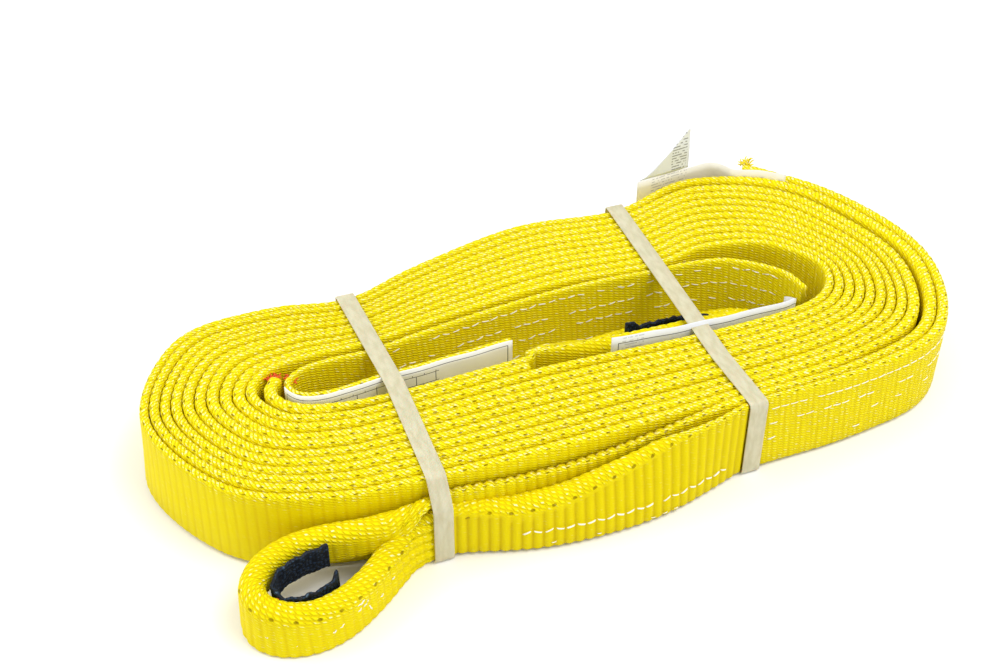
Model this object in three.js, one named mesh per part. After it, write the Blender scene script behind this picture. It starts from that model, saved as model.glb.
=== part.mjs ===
// A flat web sling, wound into an oblong coil and tied with two plastic bands, standing on the edges of
// its webbing. Millimetres, +Z up. The plan is drawn in the coil's own axes, X along the coil and Y across
// it. The finished group is then centred on its bounding box, with Z = 0 where the bands' undersides rest.
import * as THREE from 'three';

// ---- driving dimensions ----
const WEB_WIDTH = 50;          // a 2 inch web
const WEB_THICKNESS = 4;       // one ply, pressed
const CLEARANCE = 0.35;        // between pieces that touch
const BAND_WIDTH = 10.5;
const BAND_THICKNESS = 0.9;
const BEND_RADIUS = 1.2;       // inside the bands' corners
const LEFT_BAND_X = -70;
const RIGHT_BAND_X = 107.5;
const TURNS = 10;              // whole turns of the body web
const INNER_TAIL = 0.05;       // of a turn, on to the inner eye's throat
const STEPS_PER_STATION = 4;
const LINING_THICKNESS = 2;
const LABEL_THICKNESS = 0.5;
const THREAD_HEIGHT = 1.2;
const THREAD_THICKNESS = 0.6;

const WEB_BOTTOM = BAND_THICKNESS + CLEARANCE;
const WEB_TOP = WEB_BOTTOM + WEB_WIDTH;
const PLY_STEP = WEB_THICKNESS + CLEARANCE;

// The coil's plan: where the outermost and the innermost turns run, at stations that go from the front of
// the left band along the front, round the right end, along the back and round the left end.
const STATIONS = [
  // outer x, y, inner x, y
  [-72, -97.5, -72, -34],      // front, left band
  [15, -99.5, 15, -30],
  [100, -95, 100, -34],        // front, right band
  [176, -89, 165, -32],
  [230, -68.2, 189, -22],
  [251.5, -16, 197, -4],       // right end
  [241.5, 33.3, 187, 14.5],
  [216, 78, 170, 27],
  [165, 102.5, 140, 32.5],
  [107, 89, 107, 27],          // back, right band
  [45, 94.5, 45, 30.5],
  [-25, 77.5, -25, 24.5],
  [-71, 61.5, -71, 18],        // back, left band
  [-118, 69, -108, 17.5],
  [-172, 59, -132, 11],
  [-202.5, 0, -139.5, -4],     // left end
  [-174, -66, -127, -24],
  [-124, -92.5, -100, -32.5],
];
const END_SPREAD = 0.2;        // how much looser the inner turns lie at the left end
const LEFT_END = 15 / STATIONS.length;
// How far the last turn stands off the coil round the right end, from the station before it to the one after.
const LOOSE_FROM = 2;
const LOOSE_GAPS = [0, 1.5, 4.2, 6.8, 7.4, 5.5, 2.2, 0];

const v2 = (x, y) => new THREE.Vector2(x, y);

function looseGap(at) {
  const i = Math.floor(at);
  if (i < 0 || i >= LOOSE_GAPS.length - 1) return 0;
  return THREE.MathUtils.lerp(LOOSE_GAPS[i], LOOSE_GAPS[i + 1], smooth(at - i));
}

function smooth(t) {
  const c = THREE.MathUtils.clamp(t, 0, 1);
  return c * c * (3 - 2 * c);
}

function bump(distance, reach) {
  return smooth(1 - Math.abs(distance) / reach);
}

function closedCurve(points) {
  const corners = points.map(([x, y]) => new THREE.Vector3(x, y, 0));
  return new THREE.CatmullRomCurve3(corners, true, 'catmullrom', 0.5);
}

function openCurve(points, steps) {
  const corners = points.map(([x, y]) => new THREE.Vector3(x, y, 0));
  const curve = new THREE.CatmullRomCurve3(corners, false, 'centripetal');
  return curve.getSpacedPoints(steps).map((p) => v2(p.x, p.y));
}

const outerTurn = closedCurve(STATIONS.map(([x, y]) => [x, y]));
const innerTurn = closedCurve(STATIONS.map(([, , x, y]) => [x, y]));

// A point on the body web's centreline, u turns in from the outer eye's throat.
function coilPoint(u) {
  const s = u - Math.floor(u);
  const depth = u / TURNS;
  const spread = END_SPREAD * bump(s - LEFT_END, 0.16);
  const k = depth + spread * (depth * depth - depth);
  const outer = outerTurn.getPoint(s);
  const inner = innerTurn.getPoint(s);
  const p = outer.clone().lerp(inner, k);
  if (u < 1) {
    p.add(outer.sub(inner).normalize().multiplyScalar(looseGap(s * STATIONS.length - LOOSE_FROM)));
  }
  return v2(p.x, p.y);
}

// The coil's line between two turn counts. Every run uses the same steps, so that plies laid on each other
// stay parallel.
function coilRun(from, to) {
  const stepsPerTurn = STATIONS.length * STEPS_PER_STATION;
  const line = [coilPoint(from)];
  for (let i = Math.floor(from * stepsPerTurn) + 1; i < to * stepsPerTurn - 0.01; i += 1) {
    line.push(coilPoint(i / stepsPerTurn));
  }
  line.push(coilPoint(to));
  return line;
}

// The same line, moved to its right by the given distance.
function offsetLine(points, distance) {
  return points.map((p, i) => {
    const a = points[Math.max(i - 1, 0)];
    const b = points[Math.min(i + 1, points.length - 1)];
    const along = b.clone().sub(a).normalize();
    const d = typeof distance === 'function' ? distance(i / (points.length - 1)) : distance;
    return v2(p.x + along.y * d, p.y - along.x * d);
  });
}

// A strip standing on its edge: a plan line with a thickness, raised from bottom to top. fold(x, y) lowers
// its top.
function standingStrip(line, thickness, bottom, top, fold = () => 0) {
  const left = offsetLine(line, -thickness / 2);
  const right = offsetLine(line, thickness / 2);
  const shape = new THREE.Shape([...right, ...left.reverse()]);
  const geometry = new THREE.ExtrudeGeometry(shape, { depth: top - bottom, bevelEnabled: false });
  geometry.translate(0, 0, bottom);
  const position = geometry.attributes.position;
  for (let i = 0; i < position.count; i += 1) {
    if (position.getZ(i) > top - 0.01) {
      position.setZ(i, top - fold(position.getX(i), position.getY(i)));
    }
  }
  return geometry;
}

function fullStrip(line, fold) {
  return standingStrip(line, WEB_THICKNESS, WEB_BOTTOM, WEB_TOP, fold);
}

const group = new THREE.Group();
const YELLOW = 0xf0df10;
const NAVY = 0x16283c;
const CREAM = 0xe2dcc4;
const WHITE = 0xf2f2ec;

function addPart(name, geometry, color, roughness = 0.8) {
  const mesh = new THREE.Mesh(geometry, new THREE.MeshStandardMaterial({ color, roughness, metalness: 0 }));
  mesh.name = name;
  group.add(mesh);
  return mesh;
}

// ---- webbing ----
const THROAT_X = -72.2;        // where the fixed plies end, beside the outer eye's hinge
const LIMB_DROP = 10;          // how far the inner limb's top edge is folded down near the eye
const RETURN_DROP = 19;
const DROP_FROM_X = 78;
const DROP_TO_X = 0;
const LIMB_MAX_X = 50;
const LIMB_MAX_Y = -94.9;       // the last turn's inner limb is the only web in front of this line

function dropAt(x) {
  return smooth((DROP_FROM_X - x) / (DROP_FROM_X - DROP_TO_X));
}

function bodyWeb() {
  const line = coilRun(0, TURNS + INNER_TAIL);
  line[0] = v2(THROAT_X, line[0].y);
  return fullStrip(line, (x, y) => (
    y < LIMB_MAX_Y && x > THROAT_X - 1 && x < LIMB_MAX_X ? LIMB_DROP * dropAt(x) : 0));
}

function outerReturnLine() {
  return openCurve([
    [THROAT_X, -101.9], [-60, -103], [-49, -105.8], [-33, -110.6], [-16, -114.4], [2, -116.4], [21, -116.8],
    [40, -115.8], [62, -112], [85, -105.2], [98.5, -100.6],
  ], 24);
}

function outerReturnPly() {
  return fullStrip(outerReturnLine(), (x) => RETURN_DROP * dropAt(x));
}

const SPLICE_FROM = 2.06 / STATIONS.length;
const SPLICE_TO = 7.42 / STATIONS.length;
const SPLICE_ROOM = 2.2;       // how loosely the splice lies on the last turn, with the label between

function outerSpliceLine() {
  const line = coilRun(SPLICE_FROM, SPLICE_TO);
  return offsetLine(line, (t) => PLY_STEP + SPLICE_ROOM * smooth((t - 0.08) / 0.25));
}

// The inner splice ply runs from the free tip along the back, turns at the left end and comes part way back.
const INNER_SPLICE = [
  [180.5, -21], [177, -6], [165, 8], [148, 19.5], [126, 23.5], [107, 23.8], [76, 25.5], [45, 25.8], [5, 22.8],
  [-35, 17], [-71, 11.5], [-98, 11.5], [-113, 8.5], [-121.5, 0], [-118, -9.5], [-104, -14], [-75, -11.2],
  [-35, -8.6], [4, -6],
];

function innerSpliceLine() {
  return openCurve(INNER_SPLICE, 96);
}

function innerReturnPly() {
  const line = openCurve([
    [-125, 6.5], [-129.5, 1], [-130.8, -5], [-127, -13.5], [-117, -20.8], [-98, -25.6], [-72, -27.2],
    [-30, -26.3], [8, -24],
  ], 36);
  return fullStrip(line);
}

// ---- eyes: folded web, drawn as a closed outline with an opening ----
const OUTER_EYE_BOTTOM = 0.6;  // it droops to the floor; the inner eye rests on the right band
const EYE_HEIGHT = 34;

function outlinePath(points, divisions) {
  return closedCurve(points).getPoints(divisions).slice(0, -1).map((p) => v2(p.x, p.y));
}

function foldedEye(outline, opening, bottom) {
  const shape = new THREE.Shape(outline);
  shape.holes.push(new THREE.Path(opening));
  const geometry = new THREE.ExtrudeGeometry(shape, { depth: EYE_HEIGHT, bevelEnabled: false });
  geometry.translate(0, 0, bottom);
  return geometry;
}

const OUTER_HINGE = v2(-79.2, -99.7);
const HINGE_ROUND = 3.8;

// The hinge end is an arc about the hinge axis; the rest follows the folded loop.
function outerEyeOutline() {
  const loop = openCurve([
    [-80, -103.5], [-90, -110.5], [-108, -125], [-128, -137], [-146, -140.5], [-163, -136.5], [-174, -126],
    [-176, -112], [-167, -98], [-150, -90.5], [-130, -90], [-105, -94.8], [-80, -95.9],
  ], 44);
  const arc = [60, 30, 0, -30, -60].map((degrees) => {
    const a = THREE.MathUtils.degToRad(degrees);
    return v2(OUTER_HINGE.x + HINGE_ROUND * Math.cos(a), OUTER_HINGE.y + HINGE_ROUND * Math.sin(a));
  });
  return [...loop, ...arc].reverse();
}

const OUTER_OPENING = [
  [-93, -103.8], [-108, -113.5], [-130, -126], [-148, -129.8], [-160, -126], [-164.3, -116], [-158, -106],
  [-140, -101], [-115, -101],
];

const INNER_EYE_OUTLINE = [
  [13, -21.5], [50, -26.5], [90, -28.5], [125, -28], [147, -23], [155, -11], [147, 2], [120, 9.5], [85, 9.5],
  [50, 3], [24, -11], [12, -17.5],
];
const INNER_OPENING = [
  [55, -13], [85, -16.2], [115, -16.2], [137, -14.5], [144, -10.5], [137, -6.4], [115, -3.8], [85, -3.8],
  [65, -7],
];

const LINING_INSET = LINING_THICKNESS / 2 + CLEARANCE;
const LINING_EDGE = 1;         // how far its lower edge stays above the eye's
const LINING_TOP_EDGE = 3;

// Follows part of an opening's wall, between two fractions of the way round, inset from it.
function liningLine(opening, inset, from, to) {
  const loop = closedCurve(opening);
  const steps = 36;
  const line = Array.from({ length: steps + 1 }, (_, i) => loop.getPoint(from + (to - from) * i / steps));
  return offsetLine(line.map((p) => v2(p.x, p.y)), inset);
}

function eyeLining(line, bottom) {
  return standingStrip(line, LINING_THICKNESS, bottom + LINING_EDGE, bottom + EYE_HEIGHT - LINING_TOP_EDGE);
}

// ---- bands: a rounded loop in the YZ plane, as wide as the band ----
function bandLoop(corners, grow) {
  const shape = new THREE.Path();
  const round = BEND_RADIUS + grow;
  corners.forEach((c, i) => {
    const before = corners[(i + corners.length - 1) % corners.length];
    const after = corners[(i + 1) % corners.length];
    const inDir = v2(c[0] - before[0], c[1] - before[1]).normalize();
    const outDir = v2(after[0] - c[0], after[1] - c[1]).normalize();
    const half = inDir.angleTo(outDir) / 2;
    const reach = grow / Math.cos(half);
    const outward = v2(inDir.y + outDir.y, -inDir.x - outDir.x).normalize().multiplyScalar(reach);
    const corner = v2(c[0] + outward.x, c[1] + outward.y);
    const cut = round * Math.tan(half);
    const start = corner.clone().addScaledVector(inDir, -cut);
    const end = corner.clone().addScaledVector(outDir, cut);
    if (i === 0) {
      shape.moveTo(start.x, start.y);
    } else {
      shape.lineTo(start.x, start.y);
    }
    shape.quadraticCurveTo(corner.x, corner.y, end.x, end.y);
  });
  shape.closePath();
  return shape;
}

// Corners of the inside of the band, [y, z], anticlockwise seen from the right.
function band(x, corners) {
  const shape = new THREE.Shape(bandLoop(corners, BAND_THICKNESS).getPoints(4));
  shape.holes.push(new THREE.Path(bandLoop(corners, 0).getPoints(4)));
  const geometry = new THREE.ExtrudeGeometry(shape, { depth: BAND_WIDTH, bevelEnabled: false });
  geometry.rotateX(Math.PI / 2);
  geometry.rotateZ(Math.PI / 2);
  geometry.translate(x - BAND_WIDTH / 2, 0, 0);
  return geometry;
}

const BAND_LOW = BAND_THICKNESS;
const BAND_HIGH = WEB_TOP + CLEARANCE;
const LEFT_BAND = [[-105.3, BAND_LOW], [62.6, BAND_LOW], [62.6, BAND_HIGH], [-94.2, BAND_HIGH], [-105.3, 38]];
const RIGHT_BAND = [[-101.6, BAND_LOW], [91.2, BAND_LOW], [91.2, BAND_HIGH], [-101.6, BAND_HIGH]];

// ---- labels ----
const LABEL_BOTTOM = 8;
const LABEL_TOP = WEB_TOP - 0.5;
const LABEL_OFFSET = WEB_THICKNESS / 2 + CLEARANCE + LABEL_THICKNESS / 2;

function labelStrip(line, bottom, top) {
  return standingStrip(line, LABEL_THICKNESS, bottom, top);
}

const INNER_LEFT_FROM = 0.665; // where the label starts, as a fraction of the inner splice ply

// Wrapped round the outside of the inner splice ply's turned end.
function innerLeftLabel() {
  const line = innerSpliceLine();
  const held = line.slice(Math.round(line.length * INNER_LEFT_FROM));
  return labelStrip(offsetLine(held, LABEL_OFFSET), LABEL_BOTTOM, LABEL_TOP);
}

// Sewn to the inside of the inner splice ply's free tip and laid back along the front of the core.
function innerRightLabel() {
  const line = openCurve([
    [173.6, -11.5], [175.2, -19.5], [170, -28], [150, -31.2], [118, -33], [86, -33.2], [54, -31.4],
  ], 30);
  return labelStrip(line, LABEL_BOTTOM, LABEL_TOP);
}

// Held under the end of the outer splice ply, standing a little off the back of the coil.
const OUTER_LABEL_BOTTOM = 10;
const OUTER_LABEL_TOP = WEB_TOP + 4;
const OUTER_LABEL_FROM = 6.95 / STATIONS.length;
const OUTER_LABEL_HELD_TO = 7.5 / STATIONS.length;

function outerLabelStrip() {
  const start = coilRun(OUTER_LABEL_FROM, OUTER_LABEL_HELD_TO);
  const held = offsetLine(start, LABEL_OFFSET);
  const last = held[held.length - 1];
  const free = openCurve([[last.x, last.y], [184, 108.6], [166, 108.8], [148, 106.8], [130, 104.6]], 12);
  return labelStrip([...held.slice(0, -1), ...free], OUTER_LABEL_BOTTOM, OUTER_LABEL_TOP);
}

// The label's free end stands up from its top edge as a pointed flap, hinged on the crease.
const FLAP_START = v2(131, 104.9);
const FLAP_END = v2(167, 109);
const FLAP_RISE = 30;

function labelFlap() {
  const crease = FLAP_END.clone().sub(FLAP_START);
  const shape = new THREE.Shape([v2(0, 0), v2(crease.length(), 0), v2(crease.length() - 1, FLAP_RISE)]);
  const geometry = new THREE.ExtrudeGeometry(shape, { depth: LABEL_THICKNESS, bevelEnabled: false });
  geometry.translate(0, 0, -LABEL_THICKNESS / 2);
  geometry.rotateX(Math.PI / 2);
  geometry.rotateZ(crease.angle());
  geometry.translate(FLAP_START.x, FLAP_START.y, OUTER_LABEL_TOP + CLEARANCE);
  return geometry;
}

// ---- stitching: each row is one run of thread along a ply's face ----
const THREAD_OFFSET = WEB_THICKNESS / 2 + CLEARANCE + THREAD_THICKNESS / 2;
const ROW_HEIGHTS = [8.5, 19.5, 31, 42.5];      // above the web's lower edge
const RETURN_ROW_HEIGHTS = [12.5, 25];
const INNER_SEWN = [0.07, 0.575];               // the sewn part of the inner splice ply, as fractions of it

function stitchRow(line, height) {
  const z = WEB_BOTTOM + height - THREAD_HEIGHT / 2;
  return standingStrip(line, THREAD_THICKNESS, z, z + THREAD_HEIGHT);
}

function outerSpliceRow(height) {
  return stitchRow(offsetLine(outerSpliceLine().slice(2, -2), THREAD_OFFSET), height);
}

function innerSpliceRow(height) {
  const line = innerSpliceLine();
  const sewn = line.slice(...INNER_SEWN.map((fraction) => Math.round(line.length * fraction)));
  return stitchRow(offsetLine(sewn, -THREAD_OFFSET), height);
}

function outerReturnRow(height) {
  const line = outerReturnLine();
  return stitchRow(offsetLine(line.slice(5, 22), THREAD_OFFSET), height);
}

// ---- the assembly ----
addPart('body_web', bodyWeb(), YELLOW);
addPart('outer_return_ply', outerReturnPly(), YELLOW);
addPart('outer_splice_ply', fullStrip(outerSpliceLine()), YELLOW);
addPart('inner_return_ply', innerReturnPly(), YELLOW);
addPart('inner_splice_ply', fullStrip(innerSpliceLine()), YELLOW);

const outerOpening = outlinePath(OUTER_OPENING, 36);
const innerOpening = outlinePath(INNER_OPENING, 36);
const outerLining = liningLine(OUTER_OPENING, LINING_INSET, 0.2, 0.86);
const innerLining = liningLine(INNER_OPENING, -LINING_INSET, 0.1, 0.92);
addPart('outer_eye_loop', foldedEye(outerEyeOutline(), outerOpening, OUTER_EYE_BOTTOM), YELLOW);
addPart('inner_eye_loop', foldedEye(outlinePath(INNER_EYE_OUTLINE, 48), innerOpening, WEB_BOTTOM), YELLOW);
addPart('outer_eye_lining', eyeLining(outerLining, OUTER_EYE_BOTTOM), NAVY);
addPart('inner_eye_lining', eyeLining(innerLining, WEB_BOTTOM), NAVY);

addPart('left_band', band(LEFT_BAND_X, LEFT_BAND), CREAM, 0.4);
addPart('right_band', band(RIGHT_BAND_X, RIGHT_BAND), CREAM, 0.4);

addPart('label_inner_left', innerLeftLabel(), WHITE);
addPart('label_inner_right', innerRightLabel(), WHITE);
addPart('label_outer_strip', outerLabelStrip(), WHITE);
addPart('label_outer_flap', labelFlap(), WHITE);

ROW_HEIGHTS.forEach((height, i) => {
  addPart(`outer_splice_stitching_${i + 1}`, outerSpliceRow(height), WHITE);
  addPart(`inner_splice_stitching_${i + 1}`, innerSpliceRow(height), WHITE);
});
RETURN_ROW_HEIGHTS.forEach((height, i) => {
  addPart(`outer_return_stitching_${i + 1}`, outerReturnRow(height), WHITE);
});

// Centre the finished sling on its own box.
const box = new THREE.Box3().setFromObject(group);
group.position.set(-(box.min.x + box.max.x) / 2, -(box.min.y + box.max.y) / 2, -box.min.z);

export default group;
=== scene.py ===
import math
import random

import bpy
import numpy as np
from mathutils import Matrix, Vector


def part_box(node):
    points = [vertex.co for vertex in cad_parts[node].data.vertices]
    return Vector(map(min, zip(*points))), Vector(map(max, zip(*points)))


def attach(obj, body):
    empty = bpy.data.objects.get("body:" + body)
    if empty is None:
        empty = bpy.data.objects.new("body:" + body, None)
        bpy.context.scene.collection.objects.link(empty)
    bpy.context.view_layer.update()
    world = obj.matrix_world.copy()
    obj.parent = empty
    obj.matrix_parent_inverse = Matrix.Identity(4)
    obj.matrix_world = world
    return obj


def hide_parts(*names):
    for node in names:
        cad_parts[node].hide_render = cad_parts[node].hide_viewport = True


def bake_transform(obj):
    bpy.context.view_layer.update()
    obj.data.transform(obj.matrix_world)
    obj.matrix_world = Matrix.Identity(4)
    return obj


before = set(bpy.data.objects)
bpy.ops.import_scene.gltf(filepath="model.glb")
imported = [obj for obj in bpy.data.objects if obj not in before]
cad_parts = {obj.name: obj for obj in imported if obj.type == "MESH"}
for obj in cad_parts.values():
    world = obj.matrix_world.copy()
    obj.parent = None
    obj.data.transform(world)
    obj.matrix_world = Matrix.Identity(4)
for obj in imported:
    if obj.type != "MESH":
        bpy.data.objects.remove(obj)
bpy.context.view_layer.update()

MM = 0.001
TO_CM = 100                 # the webbing's and the labels' textures are in centimetres
RIB = 5.6 * MM              # one woven rib, along the web
WEB_WIDTH = 50 * MM
PLY_HALF = 2.1 * MM         # half a ply's thickness where nothing presses on it
random.seed(7)


# ---- Lines read from the frame ----
def cap_loops(node, axis=2):
    """The outlines of a prism's first end face, as ordered (n, 3) arrays, the longest first."""
    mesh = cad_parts[node].data
    co = np.array([v.co for v in mesh.vertices])
    end = co[:, axis].min()
    key = [tuple(np.round(c, 6)) for c in co]
    edges = {}
    for face in mesh.polygons:
        keys = [key[v] for v in face.vertices]
        if all(abs(k[axis] - end) < 2e-5 for k in keys):
            for a, b in zip(keys, keys[1:] + keys[:1]):
                if (b, a) in edges:
                    del edges[(b, a)]
                else:
                    edges[(a, b)] = True
    following = dict(edges.keys())
    loops = []
    while following:
        start, nxt = following.popitem()
        loop = [start]
        while nxt != start:
            loop.append(nxt)
            nxt = following.pop(nxt)
        loops.append(np.array(loop))
    return sorted(loops, key=lambda p: -path_length(p))


def path_length(points):
    return float(np.linalg.norm(np.diff(points, axis=0), axis=1).sum())


def strip_line(node):
    """The centreline, (n, 2), of a strip that stands on its edge."""
    loop = cap_loops(node)[0][:, :2]
    step = np.roll(loop, -1, 0) - loop
    size = np.linalg.norm(step, axis=1)
    unit = step / size[:, None]
    turn = (unit * np.roll(unit, 1, 0)).sum(1)          # cosine of the turn at each point
    square = (turn < 0.35) & (np.roll(turn, -1) < 0.35)
    ends = sorted(np.argsort(np.where(square, size, 1.0))[:2])
    a = loop[ends[0] + 1:ends[1] + 1]
    b = np.concatenate([loop[ends[1] + 1:], loop[:ends[0] + 1]])[::-1]
    return (a + b) / 2


def smooth_line(points, per_span=8):
    """A Catmull-Rom curve through the points, with evenly divided spans."""
    p = np.asarray(points, float)
    p = np.concatenate([2 * p[:1] - p[1:2], p, 2 * p[-1:] - p[-2:-1]])
    out = []
    for i in range(1, len(p) - 2):
        t = np.linspace(0, 1, per_span, endpoint=False)[:, None]
        a, b, c, d = p[i - 1], p[i], p[i + 1], p[i + 2]
        out.append(0.5 * (2 * b + (c - a) * t + (2 * a - 5 * b + 4 * c - d) * t ** 2
                          + (3 * b - a - 3 * c + d) * t ** 3))
    out.append(p[-2:-1])
    return np.concatenate(out)


def arc_lengths(points):
    return np.concatenate([[0], np.cumsum(np.linalg.norm(np.diff(points, axis=0), axis=1))])


def at_lengths(points, lengths):
    s = arc_lengths(points)
    return np.stack([np.interp(lengths, s, points[:, k]) for k in range(points.shape[1])], 1)


def relaxed(points, rounds):
    """The line divided into even steps and smoothed a number of rounds, with its ends held."""
    points = at_lengths(points, np.linspace(0, path_length(points), 500))
    for _ in range(rounds):
        points[1:-1] = (points[:-2] + 2 * points[1:-1] + points[2:]) / 4
    return points


def normals_of(points):
    """Unit normals to the right of a plan line."""
    d = np.gradient(points, axis=0)
    d /= np.linalg.norm(d, axis=1)[:, None]
    return np.stack([d[:, 1], -d[:, 0]], 1)


def table(x, *pairs):
    """A profile through the listed (x, value) pairs."""
    xs, vs = zip(*pairs)
    return np.interp(x, xs, vs)


def smoothstep(t):
    t = np.clip(t, 0, 1)
    return t * t * (3 - 2 * t)


# The plan's own axes run along the coil and to its back. Two pieces say where they are in the frame.
LEFT_BAND_X = -70 * MM
FLAP_Y = 106.95 * MM
SHIFT_X = sum(corner.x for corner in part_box("left_band")) / 2 - LEFT_BAND_X
SHIFT_Y = sum(corner.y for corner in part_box("label_outer_flap")) / 2 - FLAP_Y
WEB_LOW, WEB_HIGH = (corner.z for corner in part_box("body_web"))


def plan(x, y):
    """Plan axes to the frame, both in metres, from millimetres."""
    return x * MM + SHIFT_X, y * MM + SHIFT_Y


def plan_x(points):
    """The plan x of each point, in millimetres."""
    return (points[:, 0] - SHIFT_X) / MM


# ---- Meshes ----
def mesh_object(name, verts, faces, material, uvs=None, attributes=None, shade_smooth=True):
    """A mesh in the scene. uvs has one pair for each corner, and attributes one number for each
    vertex."""
    mesh = bpy.data.meshes.new(name)
    mesh.from_pydata([tuple(v) for v in verts], [], faces)
    if uvs is not None:
        layer = mesh.uv_layers.new(name="weave")
        layer.data.foreach_set("uv", np.asarray(uvs, np.float32).ravel())
    for key, values in (attributes or {}).items():
        attr = mesh.attributes.new(key, "FLOAT", "POINT")
        attr.data.foreach_set("value", np.asarray(values, np.float32).ravel())
    mesh.polygons.foreach_set("use_smooth", [shade_smooth] * len(mesh.polygons))
    mesh.materials.append(material)
    mesh.validate()
    mesh.update()
    obj = bpy.data.objects.new(name, mesh)
    bpy.context.scene.collection.objects.link(obj)
    return obj


def says(obj, body, slot, *nodes):
    """Hangs a piece on the body that it rides on and hides the CAD nodes that it stands for. slot is not
    used.
    """
    if nodes:
        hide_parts(*nodes)
    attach(obj, body)


def loft(name, rings, u, v, material, closed=False, attributes=None):
    """Rings (n, m, 3) joined into one closed skin. u has n values and v has m + 1, in metres."""
    n, m = rings.shape[:2]
    verts = rings.reshape(-1, 3)
    faces, uvs = [], []
    u = np.asarray(u) * TO_CM
    v = np.asarray(v) * TO_CM
    rows = n if closed else n - 1
    u_next = np.append(u[1:], u[-1] + (u[-1] - u[-2])) if closed else u[1:]
    for i in range(rows):
        a, b = i * m, ((i + 1) % n) * m
        for j in range(m):
            k = (j + 1) % m
            faces.append((a + j, b + j, b + k, a + k))
            uvs += [(u[i], v[j]), (u_next[i], v[j]), (u_next[i], v[j + 1]), (u[i], v[j + 1])]
    if not closed:
        faces.append(tuple(range(m)))
        uvs += [(u[0], v[j]) for j in range(m)]
        faces.append(tuple((n - 1) * m + j for j in reversed(range(m))))
        uvs += [(u[-1], v[j]) for j in reversed(range(m))]
    return mesh_object(name, verts, faces, material, uvs, attributes)


# Where the sections of one rib stand, as shares of it, and how deep in a groove each lies.
COARSE_RIB = ((0, 0.3, 0.7), (1, 0.12, 0.12))
FINE_RIB = ((0, 0.22, 0.5, 0.78), (1, 0.38, 0, 0.38))


def rib_stations(fine, rib=FINE_RIB):
    """Where a web's sections stand, in each groove between two ribs and beside it. Returns the
    lengths, how deep in the groove each lies, from 0 to 1, its rib's number, the points and the
    whole length."""
    phases, depths = rib
    length = path_length(fine)
    count = max(1, round(length / RIB))
    pitch = length / count
    s = [(k + p) * pitch for k in range(count) for p in phases] + [length]
    groove = list(depths) * count + [1.0]
    index = [k for k in range(count) for p in phases] + [count]
    return np.array(s), np.array(groove), np.array(index), at_lengths(fine, s), length


ROUND_TOP = 2.3 * MM        # how far a ply's rounded upper edge stands over its mid-surface
ROUND_LOW = 1.4 * MM


TOP_POINTS = 4              # points round a section's upper edge
LOW_POINTS = 2


def web_rings(line, path_t, path_z, groove, index, groove_depth, half_out=PLY_HALF,
              half_in=PLY_HALF, base=WEB_LOW):
    """A ply's rings along the line. Its mid-surface follows (path_t, path_z), each (n, k), from
    its lower edge to its upper, as offsets to the line's right and heights over the base. Each
    half of its thickness is one number or (n,)."""
    dt = np.gradient(path_t, axis=1)
    dz = np.gradient(path_z, axis=1)
    size = np.sqrt(dt ** 2 + dz ** 2)
    tt, tz = dt / size, dz / size                     # along the width
    nt, nz = tz, -tt                                  # to the outside
    depth = groove_depth if np.ndim(groove_depth) == 2 else np.reshape(groove_depth, (-1, 1))
    depth = np.broadcast_to(depth, path_t.shape)
    ho = np.reshape(half_out, (-1, 1)) - depth * groove[:, None]
    hi = np.reshape(half_in, (-1, 1)) - np.minimum(depth, 0.5 * MM) * groove[:, None]
    hole = np.where(index % 2 == 0, groove, 0)[:, None]

    def edge(at, sign, points, bulge):
        """The rounded upper (1) or lower (-1) edge beyond the path's end."""
        a = np.linspace(0, math.pi, points + 2)[1:-1]
        if sign < 0:
            a = a[::-1]
        across = np.cos(a)[None, :]
        h = np.where(across > 0, ho[:, [at]], hi[:, [at]]) * np.sign(across) * np.abs(across) ** 0.8
        notch = 0.16 * MM * groove[:, None] + 0.42 * MM * hole * (across > -0.4)
        reach = (bulge - notch) * np.abs(np.sin(a))[None, :] ** 0.8
        return (path_t[:, [at]] + nt[:, [at]] * h + sign * tt[:, [at]] * reach,
                path_z[:, [at]] + nz[:, [at]] * h + sign * tz[:, [at]] * reach)

    top_t, top_z = edge(-1, 1, TOP_POINTS, ROUND_TOP)
    low_t, low_z = edge(0, -1, LOW_POINTS, ROUND_LOW)
    t = np.concatenate([path_t + nt * ho, top_t, (path_t - nt * hi)[:, ::-1], low_t], 1)
    z = np.concatenate([path_z + nz * ho, top_z, (path_z - nz * hi)[:, ::-1], low_z], 1)
    return ply_rings(line, t, z, base)


def section_v(fractions, width=WEB_WIDTH, thickness=5 * MM):
    """The texture's coordinate round a section, in metres. It rises to the width at the upper
    edge, and goes on down the inner face."""
    up = ROUND_LOW + np.asarray(fractions) * (width - ROUND_LOW - ROUND_TOP)
    top = np.linspace(width - ROUND_TOP * 0.4, width + thickness + ROUND_TOP * 0.4, TOP_POINTS)
    down = 2 * width + thickness - up[::-1]
    low = np.linspace(0, 1, LOW_POINTS + 1) * thickness + 2 * width + thickness
    return np.concatenate([up, top, down, low])


def ply_rings(line, t, z, base=0.0):
    """Sections (t, z), each (n, m), set up along a plan line, as (n, m, 3)."""
    normals = normals_of(line)
    x = line[:, 0:1] + normals[:, 0:1] * t
    y = line[:, 1:2] + normals[:, 1:2] * t
    return np.stack([x, y, z + base], 2)


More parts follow.
